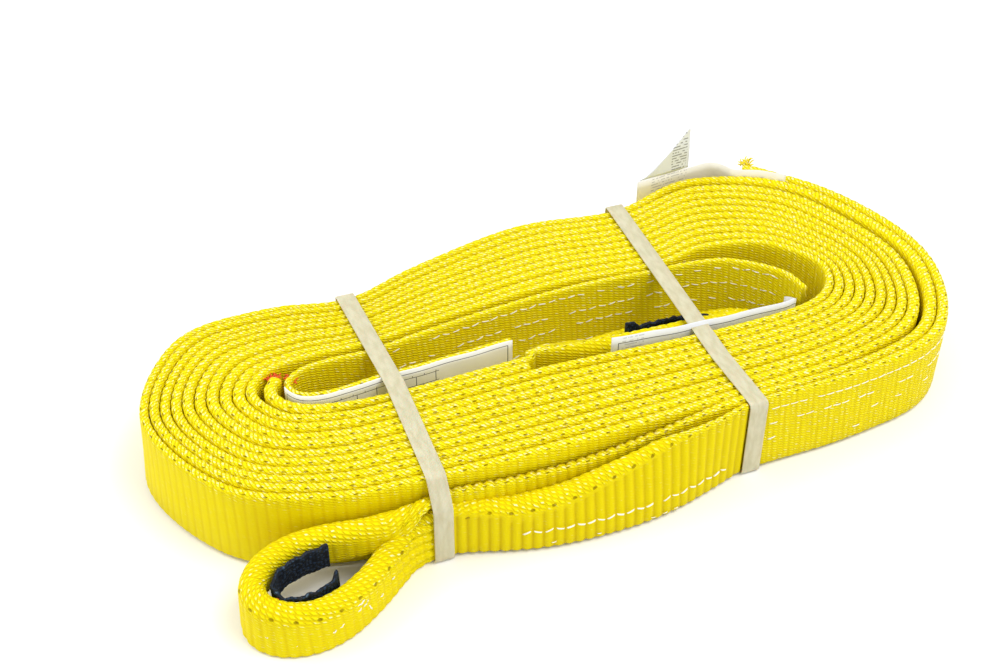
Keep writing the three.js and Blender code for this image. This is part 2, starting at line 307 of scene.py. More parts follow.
def bent_path(straight, radius, angle, width, fractions):
    """The mid-surface of a web that stands up to the height straight, then bends over to the
    line's left with the radius, through angle radians, and goes straight on to its edge. The
    first four are one number or (n,)."""
    n = max(np.size(a) for a in (straight, radius, angle, width))
    straight, radius, angle, width = (np.broadcast_to(np.asarray(a, float), (n,))[:, None]
                                      for a in (straight, radius, angle, width))
    f = np.linspace(0, 1, 241)
    w = ROUND_LOW + f[None, :] * (width - ROUND_LOW - ROUND_TOP)
    a = np.clip((w - straight) / radius, 0, angle)
    step = np.diff(w, axis=1)
    mid = (a[:, 1:] + a[:, :-1]) / 2
    t = -np.concatenate([np.zeros((n, 1)), np.cumsum(np.sin(mid) * step, 1)], 1)
    z = w[:, :1] + np.concatenate([np.zeros((n, 1)), np.cumsum(np.cos(mid) * step, 1)], 1)
    return (np.array([np.interp(fractions, f, row) for row in t]),
            np.array([np.interp(fractions, f, row) for row in z]))


def fold_start(top, radius, angle):
    """How high a fold that peaks at top starts to bend, for an angle in degrees."""
    return top - radius * np.where(angle > 89, 1, np.sin(np.radians(angle)))


def straight_path(count, fractions):
    """The mid-surface of a web that stands straight."""
    z = ROUND_LOW + np.asarray(fractions)[None, :] * (WEB_WIDTH - ROUND_LOW - ROUND_TOP)
    z = np.repeat(z, count, 0)
    return np.zeros_like(z), z


# ---- Materials ----
class Nodes:
    """A short way to write a material's node tree. A value is a socket or a number."""

    def __init__(self, name):
        self.material = bpy.data.materials.new(name)
        self.material.use_nodes = True
        self.tree = self.material.node_tree
        self.tree.nodes.clear()
        self.shader = self.add("ShaderNodeBsdfPrincipled")
        out = self.add("ShaderNodeOutputMaterial")
        self.tree.links.new(self.shader.outputs[0], out.inputs["Surface"])

    def add(self, kind, **settings):
        node = self.tree.nodes.new(kind)
        for key, value in settings.items():
            setattr(node, key, value)
        return node

    def put(self, socket, value):
        if isinstance(value, bpy.types.NodeSocket):
            self.tree.links.new(value, socket)
        elif value is not None:
            socket.default_value = value

    def fill(self, node, **values):
        """Sets a node's inputs. A name's underscores stand for its spaces."""
        for key, value in values.items():
            self.put(node.inputs[key.replace("_", " ")], value)
        return node

    def set(self, **values):
        self.fill(self.shader, **values)

    def math(self, operation, a, b=None):
        node = self.add("ShaderNodeMath", operation=operation)
        for socket, value in zip(node.inputs, (a, b)):
            self.put(socket, value)
        return node.outputs[0]

    def plus(self, a, b):
        return self.math("ADD", a, b)

    def minus(self, a, b):
        return self.math("SUBTRACT", a, b)

    def times(self, a, b):
        return self.math("MULTIPLY", a, b)

    def over(self, a, b):
        return self.math("DIVIDE", a, b)

    def ramp(self, value, low, high, to_low=0.0, to_high=1.0):
        node = self.add("ShaderNodeMapRange", interpolation_type="SMOOTHSTEP")
        self.fill(node, Value=value, From_Min=low, From_Max=high, To_Min=to_low, To_Max=to_high)
        return node.outputs[0]

    def window(self, value, low, high, soft=0.02):
        """1 from low to high, with soft edges over each."""
        return self.times(self.ramp(value, low, low + soft), self.ramp(value, high, high + soft, 1.0, 0.0))

    def mix(self, factor, a, b):
        node = self.add("ShaderNodeMix", data_type="RGBA")
        self.put(node.inputs[0], factor)
        self.put(node.inputs[6], a)
        self.put(node.inputs[7], b)
        return node.outputs[2]

    def stain(self, base, where, share, colour):
        """The base colour with a share of another one, given in sRGB, where the factor is high."""
        return self.mix(self.times(where, share), base, rgba(*colour))

    def noise(self, vector, scale, detail=2.0):
        node = self.add("ShaderNodeTexNoise")
        return self.fill(node, Vector=vector, Scale=scale, Detail=detail, Roughness=0.5).outputs["Fac"]

    def grid_noise(self, u, v, u_scale, v_scale, detail=2.0):
        """Noise with its own scale along and across."""
        return self.noise(self.vector(self.times(u, u_scale), self.times(v, v_scale)), 1.0, detail)

    def bricks(self, vector, width, height, mortar, smooth, colours, **layout):
        """A brick texture in grey. colours are the two bricks' and the mortar's."""
        node = self.add("ShaderNodeTexBrick", **layout)
        first, second, between = ((grey, grey, grey, 1) for grey in colours)
        self.fill(node, Vector=vector, Color1=first, Color2=second, Mortar=between, Scale=1.0, Bias=0.0,
                  Mortar_Size=mortar, Mortar_Smooth=smooth, Brick_Width=width, Row_Height=height)
        return self.fill(self.add("ShaderNodeRGBToBW"), Color=node.outputs["Color"]).outputs[0]

    def attribute(self, name):
        return self.add("ShaderNodeAttribute", attribute_name=name).outputs["Fac"]

    def uv(self):
        split = self.add("ShaderNodeSeparateXYZ")
        self.put(split.inputs[0], self.add("ShaderNodeTexCoord").outputs["UV"])
        return split.outputs[0], split.outputs[1]

    def vector(self, x, y, z=0.0):
        node = self.add("ShaderNodeCombineXYZ")
        for socket, value in zip(node.inputs, (x, y, z)):
            self.put(socket, value)
        return node.outputs[0]

    def bump(self, height, distance, strength=1.0):
        node = self.fill(self.add("ShaderNodeBump"), Height=height, Distance=distance, Strength=strength)
        self.set(Normal=node.outputs[0])


def rgba(r, g, b):
    """An sRGB colour, 0 to 255, as a linear one."""
    def linear(c):
        c /= 255
        return c / 12.92 if c <= 0.04045 else ((c + 0.055) / 1.055) ** 2.4
    return (linear(r), linear(g), linear(b), 1.0)


def webbing_material():
    """Polyester webbing. In the texture's centimetres, u runs along the web and v across it and
    over its edges."""
    n = Nodes("yellow_webbing")
    u, v = n.uv()
    rib = RIB * TO_CM
    width = WEB_WIDTH * TO_CM
    slack = n.attribute("slack")
    phase = n.math("FRACT", n.over(u, rib))
    from_groove = n.math("MINIMUM", phase, n.minus(1.0, phase))    # 0 in a groove, 0.5 on a crown
    groove = n.ramp(from_groove, 0.0, 0.26, 1.0, 0.0)

    # The upper edge is bound like a rope; slack webbing shows its short floats all over.
    from_edge = n.math("ABSOLUTE", n.minus(v, width + 0.22))
    edge = n.ramp(from_edge, 0.22, 0.42, 1.0, 0.0)
    near = n.ramp(from_edge, 0.35, 1.3, 1.0, 0.0)
    grain = n.math("MAXIMUM", n.times(near, 0.75), slack)

    rope_phase = n.math("FRACT", n.plus(n.over(u, 0.27), n.times(v, 2.6)))
    rope = n.ramp(n.math("ABSOLUTE", n.minus(rope_phase, 0.5)), 0.5, 0.22)

    # Short floats, staggered like twill.
    sheared = n.vector(n.plus(u, n.times(v, 0.85)), n.plus(v, n.times(u, 0.25)))
    floats = n.bricks(sheared, rib / 2, 0.18, 0.08, 1.0, (1, 0.6, 0), offset=0.5, offset_frequency=2)
    floats = n.mix(edge, floats, rope)

    # Fine filaments along the floats, slow changes of tone, and spots for the painted glints on single
    # floats.
    fine = n.grid_noise(u, v, 9.0, 34.0, 2.0)
    fibres = n.grid_noise(u, v, 60.0, 9.0, 2.0)
    slow = n.grid_noise(u, v, 0.35, 0.5, 2.0)
    glint_spot = n.grid_noise(u, v, 3.6, 7.5, 1.0)

    # A small hole beside every second groove, on the outer side of the upper edge, painted as a dark spot
    # of shade.
    pair = n.math("FRACT", n.over(u, 2 * rib))
    stray = n.noise(n.vector(n.times(u, 1.9), 0.0), 1.0, 1.0)
    along = n.times(n.minus(n.plus(pair, n.times(stray, 0.1)), 0.55), 2 * rib / 0.125)
    across = n.minus(v, n.plus(n.attribute("crest"), n.times(stray, 0.08)))
    across = n.over(n.plus(across, 0.04), 0.062)
    distance = n.plus(n.times(along, along), n.times(across, across))
    hole = n.times(n.ramp(distance, 0.1, 1.5, 1.0, 0.0), n.ramp(stray, 0.3, 0.5, 0.45, 1.0))

    # The faces get a darker yellow than the edges and slack webbing: partly their own tone, partly painted
    # shade on the faces.
    face = n.mix(slow, rgba(222, 200, 0), rgba(234, 217, 0))
    base = n.mix(grain, face, n.mix(slow, rgba(243, 225, 0), rgba(250, 239, 8)))
    # Painted glints: near-white highlights on single floats of the edges and slack webbing.
    light = n.times(n.ramp(glint_spot, 0.5, 0.68), n.times(grain, n.ramp(floats, 0.5, 1.0)))
    base = n.stain(base, light, 0.95, (255, 252, 205))
    # Painted shade in the gaps between the floats, on the edges and slack webbing.
    gap = n.times(grain, n.ramp(floats, 0.0, 0.5, 1.0, 0.0))
    base = n.stain(base, gap, 0.5, (206, 160, 0))
    # Painted shade in the grooves between the ribs, less on slack webbing.
    groove_shade = n.times(groove, n.minus(0.3, n.times(slack, 0.2)))
    base = n.mix(groove_shade, base, rgba(206, 166, 0))
    # Lighter fine streaks along the filaments: the weave's texture with painted sheen.
    base = n.stain(base, n.ramp(fine, 0.4, 0.7), 0.14, (255, 240, 20))
    # Painted shade in the holes.
    base = n.stain(base, hole, 0.7, (128, 92, 0))
    base = n.mix(n.attribute("shade"), base, rgba(150, 108, 0))
    base = n.mix(n.attribute("red"), base, rgba(222, 72, 40))
    n.set(Base_Color=base, Roughness=n.ramp(fibres, 0.2, 0.8, 0.42, 0.62))
    n.set(Specular_IOR_Level=0.06)

    height = n.times(n.times(floats, grain), 0.8)
    height = n.plus(height, n.times(fine, 0.12))
    height = n.plus(height, n.times(fibres, 0.08))
    height = n.minus(height, n.times(hole, 1.0))
    n.bump(height, 0.9 * MM, 0.9)
    return n.material


def navy_material():
    n = Nodes("navy_lining")
    u, v = n.uv()
    cells = n.add("ShaderNodeTexVoronoi", feature="F1")
    n.fill(cells, Vector=n.vector(n.times(u, 5.5), n.times(v, 9.0)), Scale=1.0, Randomness=0.55)
    dots = n.ramp(cells.outputs["Distance"], 0.1, 0.55, 1.0, 0.0)
    tone = n.grid_noise(u, v, 3.0, 4.0, 3.0)
    base = n.mix(dots, rgba(6, 14, 26), rgba(34, 62, 92))
    base = n.stain(base, n.ramp(tone, 0.62, 0.75), 0.6, (96, 124, 150))
    n.set(Base_Color=base, Roughness=n.ramp(tone, 0.3, 0.7, 0.5, 0.75), Specular_IOR_Level=0.35)
    n.bump(dots, 0.5 * MM, 0.9)
    return n.material


def band_material():
    n = Nodes("strapping_band")
    u, v = n.uv()
    ribs = n.math("SINE", n.times(v, math.tau / 0.07))
    slant = n.math("SINE", n.times(n.plus(u, v), math.tau / 0.16))
    cloud = n.grid_noise(u, v, 1.2, 3.0, 3.0)
    base = n.mix(n.ramp(cloud, 0.3, 0.7), rgba(192, 184, 146), rgba(208, 202, 170))
    base = n.mix(n.ramp(ribs, -1.0, 1.0, 0.0, 0.25), base, rgba(226, 222, 200))
    n.set(Base_Color=base, Roughness=n.ramp(cloud, 0.3, 0.7, 0.28, 0.42), Specular_IOR_Level=0.5)
    n.set(Subsurface_Weight=0.15, Subsurface_Scale=0.002)
    n.bump(n.plus(n.times(ribs, 0.5), n.times(slant, 0.22)), 0.12 * MM, 0.8)
    return n.material


def label_material(name, width, length, inset=0.28, blocks=None, lines=None, tint=(250, 250, 247)):
    """White tape with a thin printed frame, and plain outlined blocks or lines of dashes.
    Lengths are in centimetres."""
    n = Nodes(name)
    u, v = n.uv()
    v = n.math("MINIMUM", v, n.minus(2 * width + 0.05, v))           # the same on both faces
    from_end = n.math("MINIMUM", u, n.minus(length, u))
    from_top = n.minus(width, v)

    def stroke(value, at, half=0.03):
        return n.ramp(n.math("ABSOLUTE", n.minus(value, at)), half * 0.6, half, 1.0, 0.0)

    inside_end = n.ramp(from_end, inset - 0.03, inset)
    inside_top = n.ramp(from_top, inset - 0.03, inset)
    ink = n.math("MAXIMUM", n.times(stroke(from_top, inset), inside_end),
                 n.times(stroke(from_end, inset), inside_top))
    if blocks is not None:
        low, high = blocks
        outlines = n.bricks(n.vector(u, from_top), 1.15, 0.62, 0.022, 0.1, (0, 0, 1), offset=0.35,
                            offset_frequency=2, squash=0.6, squash_frequency=3)
        box = n.times(n.window(u, low, high), n.ramp(from_top, inset + 0.22, inset + 0.24))
        ink = n.math("MAXIMUM", ink, n.times(box, outlines))
    if lines is not None:
        low, high, weight = lines
        rows = n.over(from_top, 0.21)
        row = n.window(n.math("FRACT", rows), 0.3, 0.66, 0.06)
        dash = n.noise(n.vector(n.times(u, 5.0), n.times(n.math("FLOOR", rows), 7.3)), 1.0, 1.0)
        row = n.times(row, n.times(n.ramp(dash, 0.44, 0.5), n.window(u, low, high)))
        ink = n.math("MAXIMUM", ink, n.times(row, weight))
    tone = n.noise(n.vector(u, v), 0.6, 2.0)
    weave = n.fill(n.add("ShaderNodeTexChecker"), Vector=n.vector(u, v), Scale=18.0)
    base = n.mix(tone, rgba(*(c - 12 for c in tint)), rgba(*tint))
    base = n.stain(base, ink, 0.92, (30, 32, 44))
    n.set(Base_Color=base, Roughness=n.ramp(tone, 0.2, 0.8, 0.42, 0.6), Specular_IOR_Level=0.4)
    n.bump(weave.outputs["Fac"], 0.05 * MM, 0.5)
    return n.material


def thread_material(name, colour, tip):
    n = Nodes(name)
    coord = n.add("ShaderNodeTexCoord").outputs["Object"]
    fuzz = n.noise(coord, 900.0, 3.0)
    n.set(Base_Color=n.mix(fuzz, colour, tip), Roughness=n.ramp(fuzz, 0.3, 0.7, 0.5, 0.75),
          Specular_IOR_Level=0.4)
    n.bump(fuzz, 0.15 * MM, 0.7)
    return n.material


WEB = webbing_material()
NAVY = navy_material()
BAND = band_material()
WHITE_THREAD = thread_material("white_thread", rgba(238, 236, 214), rgba(255, 255, 250))
RED_THREAD = thread_material("red_yarn", rgba(206, 58, 10), rgba(240, 106, 36))
YELLOW_YARN = thread_material("yellow_yarn", rgba(232, 206, 4), rgba(252, 238, 60))


# ---- Webbing ----
def wave(s, *terms):
    """A slow sum of sines along s, each (wavelength, amplitude, phase)."""
    return sum(a * np.sin(math.tau * s / w + p) for w, a, p in terms)


def waved(z, s, *terms):
    """The heights with a wave along s that grows from nothing at the lower edge."""
    return z + wave(s, *terms)[:, None] * (z / WEB_WIDTH)


BODY = strip_line("body_web")
STEPS_PER_TURN = 72
FIRST_STRETCH = 0.3         # turns of the outermost web that stands lower
LAST_STRETCH = 9.1          # the turn from which the innermost web is slack


def body_neighbours(line):
    """Half the distance from each point of the coil's line to the turn outside it and to the turn
    inside it."""
    normals = normals_of(line)
    n = len(line)
    outside = np.full(n, np.nan)
    inside = np.full(n, np.nan)
    for i in range(n):
        if i >= STEPS_PER_TURN:
            outside[i] = abs((line[i - STEPS_PER_TURN] - line[i]) @ normals[i]) / 2
        if i + STEPS_PER_TURN < n:
            inside[i] = abs((line[i + STEPS_PER_TURN] - line[i]) @ normals[i]) / 2
    return outside, inside


def nearest(points, others):
    """The distance from each point to the nearest of the others."""
    return np.array([np.linalg.norm(others - p, axis=1).min() for p in points])


SPLICE_LINE = smooth_line(strip_line("outer_splice_ply"))
if SPLICE_LINE[0, 1] > SPLICE_LINE[-1, 1]:
    SPLICE_LINE = SPLICE_LINE[::-1]

FREE_HALF = 2.5 * MM        # half a ply's thickness with no neighbour near
THIN_HALF = 1.9 * MM        # and where it is pressed most
AIR = 0.1 * MM              # what stays between two plies that touch
REACH = 0.7 * MM            # how far over its fullest a ply still counts as touching


def half_from_gap(gap, high):
    """Half a ply's thickness, so that it reaches its neighbour unless that is too far away."""
    far = np.isnan(gap) | (gap > high + REACH)
    return np.clip(np.where(far, FREE_HALF, gap - AIR), THIN_HALF, high)


HOLES_AT = WEB_WIDTH * TO_CM + 0.02     # where the row of holes runs, in the texture's v


def make_ply(name, node, rings, s, fractions, slack=0, shade=0, red=0, crest=HOLES_AT,
             join=None):
    """Lofts a ply, hides the CAD node that it stands for and hangs it on the coil, or, when join is given,
    bakes its transform into its mesh instead.
    slack, shade, red and crest are one number, one for each ring or one for each point."""
    fill = {}
    for key, value in (("slack", slack), ("shade", shade), ("red", red), ("crest", crest)):
        if np.ndim(value) == 1:
            value = np.reshape(value, (-1, 1))
        fill[key] = np.zeros(rings.shape[:2]) + value
    obj = loft(name, rings, s, section_v(fractions), WEB, attributes=fill)
    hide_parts(node)
    if join is None:
        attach(obj, "coil")
    else:
        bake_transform(obj)


def web_body():
    """The ten turns of the body web, each full enough to reach its neighbours."""
    outside, inside = body_neighbours(BODY)
    fine = smooth_line(BODY)
    s, groove, index, line, length = rib_stations(fine, COARSE_RIB)
    at = np.interp(s, arc_lengths(BODY) * length / path_length(BODY), np.arange(len(BODY)))
    turn = at / STEPS_PER_TURN
    high = (3.1 + 1.3 * smoothstep((-85 - plan_x(BODY)) / 25)) * MM
    beside = nearest(BODY, at_lengths(SPLICE_LINE, np.arange(0, path_length(SPLICE_LINE), 1 * MM))) / 2
    beside[STEPS_PER_TURN:] = np.nan
    outside = np.where(beside < 4 * MM, beside, outside)
    # Round the right end the outer turns stand apart, and they are fuller there.
    loose = plan_x(BODY) > 150
    halves = []
    for gap in (outside, inside):
        apart = loose & (gap > high + REACH)
        full = np.where(apart, np.clip(gap - 1.1 * MM, 0, 4.8 * MM), half_from_gap(gap, high))
        halves.append(np.interp(at, np.arange(len(BODY)), full))
    half_out, half_in = halves
    x = plan_x(line)
    # The first stretch stands lower, and its ribs are full.
    first = turn < FIRST_STRETCH
    low_top = table(x, (-76, 41.8), (-56, 41), (-28, 39.2), (0, 39.2), (27, 41.6), (53, 44.8),
                    (74, 47.4), (95, 50))
    top = np.where(first, low_top, 50.0)
    fractions = [0, 0.45, 0.78, 0.9, 1]
    t, z = straight_path(len(s), fractions)
    z = z * (top * MM / WEB_WIDTH)[:, None]
    z = waved(z, s, (0.61, 0.3 * MM, 0.4), (0.173, 0.22 * MM, 1.1), (2.3, 0.35 * MM, 2.0))
    # Round the left end the lower edge leans out.
    part = turn % 1
    lean = smoothstep((-96 - x) / 60) * smoothstep((0.95 - part) / 0.2) * smoothstep((part - 0.64) / 0.12)
    lean *= np.clip(1.1 - turn / 5, 0, 1)
    t = t + lean[:, None] * 6.0 * MM * np.clip(1 - z / WEB_WIDTH, 0, 1) ** 1.3
    full = first * smoothstep((95 - x) / 40)
    z = z - (full * groove * 1.1 * MM)[:, None] * (z / z[:, -1:]) ** 6
    rings = web_rings(line, t, z, groove, index, (0.3 + 0.7 * full) * MM, half_out, half_in)
    slack = np.clip(0.12 + 0.12 * wave(s, (0.9, 1, 0), (0.31, 1, 2)), 0, 1)
    slack = np.where(turn > LAST_STRETCH, 0.8, slack)
    slack = np.where(first, 0.3, slack)
    # The inner side of the first stretch's upper edge lies in shade.
    dark = np.zeros(rings.shape[:2])
    dark[:, 7:11] = full[:, None] * np.array([0.35, 0.8, 0.8, 0.4])
    make_ply("web_body", "body_web", rings, s, fractions, slack, shade=dark)


# Shares of the width for a folded ply and a straight one, with more points near the upper edge.
FOLD = np.concatenate([np.linspace(0, 0.5, 5), np.linspace(0.55, 1, 24)])
FACE = np.concatenate([np.linspace(0, 0.5, 5), np.linspace(0.55, 1, 12)])
INNER_END = (-125, 6.5)     # where the inner return ply's sewn end is, in plan millimetres


def oriented(line, start):
    """The line, running from the end that is nearest to start, in plan millimetres."""
    near, far = (np.linalg.norm(line[k] - plan(*start)) for k in (0, -1))
    return line if near < far else line[::-1]


def simple_ply(name, node, start, slack, top=None, groove_depth=0.45 * MM, half=None, outer=None,
               red=None):
    """A ply that stands straight on its edge and runs from start. top, its rise, and red are
    functions of the length so far and the whole length. half gives half its thickness from its
    line, and outer that of its outer side from plan x."""
    fine = oriented(smooth_line(strip_line(node)), start)
    s, groove, index, line, length = rib_stations(fine)
    t, z = straight_path(len(s), FACE)
    z = waved(z, s, (0.31, 0.3 * MM, 1.0), (0.11, 0.25 * MM, 0.3))
    if top is not None:
        z = z + top(s, length)[:, None] * (z / WEB_WIDTH)
    half_in = PLY_HALF + 0.15 * MM if half is None else half(line)
    half_out = half_in if outer is None else outer(plan_x(line))
    rings = web_rings(line, t, z, groove, index, groove_depth, half_out, half_in)
    make_ply(name, node, rings, s, FACE, slack, red=0 if red is None else red(s, length))
    return line, s, length


def outer_return_shape(x):
    """The fold of the outer return ply's upper edge, by plan x: the straight height, the radius,
    the angle and the width that shows."""
    top = table(x, (-76, 34.5), (-58, 32), (-33, 30), (-16, 31.5), (1, 33.5), (19, 38), (38, 42.5),
                (58, 48), (75, 49.6), (104, 50))
    radius = table(x, (-76, 1.4), (-60, 2.4), (-46, 3.6), (-33, 4.8), (-16, 5.2), (1, 4.8),
                   (20, 3.6), (38, 2.6), (58, 1.9), (80, 1.5), (104, 1.5))
    angle = table(x, (-76, 70), (-64, 110), (-48, 180), (42, 180), (58, 150), (72, 60), (84, 8), (104, 4))
    width = table(x, (-76, 38), (-64, 40), (-46, 50), (104, 50))
    return fold_start(top, radius, angle) * MM, radius * MM, np.radians(angle), width * MM


def web_outer_return():
    """The outer return ply, whose upper edge is folded over near the eye."""
    fine = oriented(smooth_line(strip_line("outer_return_ply")), (-72, -102))
    onward = fine[-1] - fine[-6]
    fine = np.concatenate([fine, [fine[-1] + onward / np.linalg.norm(onward) * 6.0 * MM]])
    s, groove, index, line, length = rib_stations(fine)
    straight, radius, angle, width = outer_return_shape(plan_x(line))
    t, z = bent_path(straight, radius, angle, width, FOLD)
    lean = table(plan_x(line), (-45, 0), (-10, 2), (15, 4.5), (35, 5.5), (60, 4.5), (84, 1), (104, 0)) * MM
    t = t - lean[:, None] * np.clip(FOLD[None, :] * width[:, None] / straight[:, None], 0, 1) ** 1.5
    on_face = smoothstep((straight[:, None] - z) / (4 * MM))
    rings = web_rings(line, t, z, groove, index, (0.5 + 0.6 * on_face) * MM)
    red = np.where(s > length - 0.7 * MM, 0.85, 0.0)
    slack = np.clip((rings[:, :, 2] - straight[:, None] - 1 * MM) / (3 * MM), 0.1, 0.95)
    crest = np.where(angle > 1.6, (straight + 0.35 * radius) * TO_CM, HOLES_AT)
    shade = 0.28 * groove[:, None] * (rings[:, :, 2] < straight[:, None])
    make_ply("web_outer_return", "outer_return_ply", rings, s, FOLD, slack, shade, red, crest)
    return line, s, length


def loop_from_throat(node, throat):
    """A folded eye's outline as an open line, anticlockwise, that starts and ends beside the
    throat point."""
    loop = cap_loops(node)[0][:, :2]
    area = (loop[:, 0] * np.roll(loop[:, 1], -1) - loop[:, 1] * np.roll(loop[:, 0], -1)).sum()
    if area < 0:
        loop = loop[::-1]
    start = np.argmin(np.linalg.norm(loop - throat, axis=1))
    return np.roll(loop, -start, 0)


def inset_line(points, distance):
    """The line moved to its left, which is inside for an anticlockwise one."""
    return points - normals_of(points) * distance


def web_outer_eye():
    """The outer eye, folded over to about half its width."""
    throat = np.array(plan(-75.4, -99.7))
    loop = loop_from_throat("outer_eye_loop", throat)
    # The loop stops short of the throat, and its limbs run on under the band, in line with the
    # plies of the coil.
    line = inset_line(loop[plan_x(loop) < -81.5], PLY_HALF)
    back = np.array([plan(-68, -97.2), plan(-76, -97.3)])
    front = np.array([plan(-76, -102.2), plan(-68, -102.9)])
    fine = smooth_line(np.concatenate([back, line, front]))
    fine = relaxed(fine, 12)
    s, groove, index, line, length = rib_stations(fine)
    # How high its edges stand, along it from the back limb, and the fold of the upper one.
    f = s / length
    top = table(f, (0, 40.3), (0.12, 38.5), (0.3, 35), (0.5, 31), (0.65, 26), (0.8, 24.5),
                (0.9, 27.5), (1, 33.5))
    low = table(f, (0, 12), (0.3, 10), (0.45, 1.5), (0.52, 0), (0.92, 0), (1, 1.2))
    radius = table(f, (0, 1.3), (0.05, 2.2), (0.11, 4.0), (0.3, 4.6), (0.7, 4.8), (0.86, 4.4),
                   (0.95, 2.6), (1, 1.4))
    angle = table(f, (0, 60), (0.05, 120), (0.1, 180), (0.88, 180), (0.95, 120), (1, 60))
    width = table(f, (0, 30), (0.05, 35), (0.12, 49), (0.2, 50), (0.86, 50), (0.95, 42), (1, 38.5))
    straight = fold_start(top - low, radius, angle) * MM
    fractions = np.linspace(0, 1, 30)
    t, z = bent_path(straight, radius * MM, np.radians(angle), width * MM, fractions)
    lean = np.sin(np.clip(f, 0, 1) * math.pi) ** 0.5 * 1.5 * MM
    t = t + lean[:, None] * np.clip(1 - z / (30 * MM), 0, 1)
    # Long creases where the limbs go in under the band.
    crease = smoothstep((0.2 - f) / 0.18) + smoothstep((f - 0.72) / 0.25)
    across = fractions[None, :] * WEB_WIDTH
    fold = 0.75 * MM * np.sin(math.tau * across / (8.5 * MM) + 3.0 * f[:, None]) * crease[:, None]
    upright = z < straight[:, None]
    t = t + fold * np.where(upright, 1, 0.2)
    z = z + 0.7 * fold * np.where(upright, 0, 1) + low[:, None] * MM
    on_face = smoothstep((straight[:, None] + low[:, None] * MM - z) / (5 * MM))
    rings = web_rings(line, t, z, groove, index, (0.25 + 0.4 * on_face) * MM, base=0.0)
    rings[:, :, 2] = np.maximum(rings[:, :, 2], 0.0)
    slack = np.clip((rings[:, :, 2] - (top[:, None] - 10) * MM) / (7 * MM), 0.3, 1)
    crest = (straight + 0.35 * radius * MM) * TO_CM
    join = {"bodies": ("coil", "outer_eye"), "start": plan(-76, -100) + (0.02,),
            "end": plan(-88, -101) + (0.02,)}
    make_ply("web_outer_eye", "outer_eye_loop", rings, s, fractions, slack, crest=crest,
             join=join)
    return line, s, length


def web_inner_eye():
    """The inner eye, in the middle of the coil, with its upper part folded over."""
    throat = np.array(plan(12, -19))
    loop = loop_from_throat("inner_eye_loop", throat)
    line = inset_line(loop, PLY_HALF)
    # The limbs run on beside the end of the inner return ply.
    ply = oriented(smooth_line(strip_line("inner_return_ply")), INNER_END)
    onward = (ply[-1] - ply[-8]) / np.linalg.norm(ply[-1] - ply[-8])
    front = np.stack([ply[-1] - onward * 3 * MM, ply[-1] + onward * 3 * MM])
    back = np.stack([ply[-1] + onward * 4 * MM, ply[-1]]) + np.array([0, 4.4 * MM])
    fine = smooth_line(np.concatenate([front, line[3:-3], back]))
    fine = relaxed(fine, 30)
    s, groove, index, line, length = rib_stations(fine)
    f = s / length
    # How high it stands, along it from the front limb, and the fold of its upper edge.
    top = table(f, (0, 50), (0.08, 49), (0.2, 46), (0.33, 44.5), (0.43, 41), (0.53, 28), (0.66, 22),
                (0.84, 28), (0.94, 44), (1, 49))
    radius = table(f, (0, 1.5), (0.12, 3.6), (0.2, 4.2), (0.8, 4.0), (0.9, 3.0), (1, 1.5))
    angle = table(f, (0, 4), (0.04, 30), (0.12, 180), (0.88, 180), (0.96, 30), (1, 4))
    straight = fold_start(top, radius, angle) * MM
    fractions = np.linspace(0, 1, 24)
    t, z = bent_path(straight, radius * MM, np.radians(angle), WEB_WIDTH, fractions)
    rings = web_rings(line, t, z, groove, index, 0.4 * MM)
    make_ply("web_inner_eye", "inner_eye_loop", rings, s, fractions, 0.85)


LINING_HALF = 1.05 * MM


def lining(name, node, start, body, top_of, low_of, shift=0.0, trim=0.0):
    """A dense woven wear pad, as a thick ribbon with rippled edges. It stands shift further
    inside its eye than its CAD node, and its first end is cut by trim. top_of and low_of give
    its edges in millimetres from (share of its length, length)."""
    fine = oriented(smooth_line(strip_line(node)), start)
    inside = np.sign(((fine.mean(0) - fine) * normals_of(fine)).sum())
    fine = fine + normals_of(fine) * inside * shift
    fine = at_lengths(fine, np.arange(trim, path_length(fine), 1 * MM))
    length = path_length(fine)
    s = np.arange(0, length, 0.9 * MM)
    line = at_lengths(fine, s)
    f = s / length
    top, low = top_of(f, s) * MM, low_of(f, s) * MM
    w = np.linspace(0, 1, 16)[None, :]
    z = low[:, None] + w * (top - low)[:, None]
    t = 0.5 * MM * np.sin(math.tau * s / (8.3 * MM))[:, None] * w ** 3
    beat = np.sin(math.tau * s / (2.6 * MM))[:, None]
    ripple = 0.16 * beat * np.cos(9 * math.pi * w)
    outer = t + LINING_HALF * (1 + ripple)
    inner = t - LINING_HALF * (1 + ripple)
    a = np.radians([35, 90, 145])
    cap_t = t[:, -1:] + LINING_HALF * np.cos(a)[None, :]
    cap_z = z[:, -1:] + LINING_HALF * np.sin(a)[None, :] * (1 + 0.3 * beat)
    ring_t = np.concatenate([outer, cap_t, inner[:, ::-1]], 1)
    ring_z = np.concatenate([z, cap_z, z[:, ::-1]], 1)
    rings = ply_rings(line, ring_t, ring_z)
    width = float(np.mean(top - low))
    up = w[0] * width
    cap = width + np.array([0.8, 1.6, 2.4]) * MM
    v = np.concatenate([up, cap, 2 * width - up[::-1] + 3 * MM, [2 * width + 5 * MM]])
    obj = loft(name, rings, s, v, NAVY)
    says(obj, body, "eye_lining", node)


# ---- Bands ----
BAND_THICKNESS = 0.85 * MM


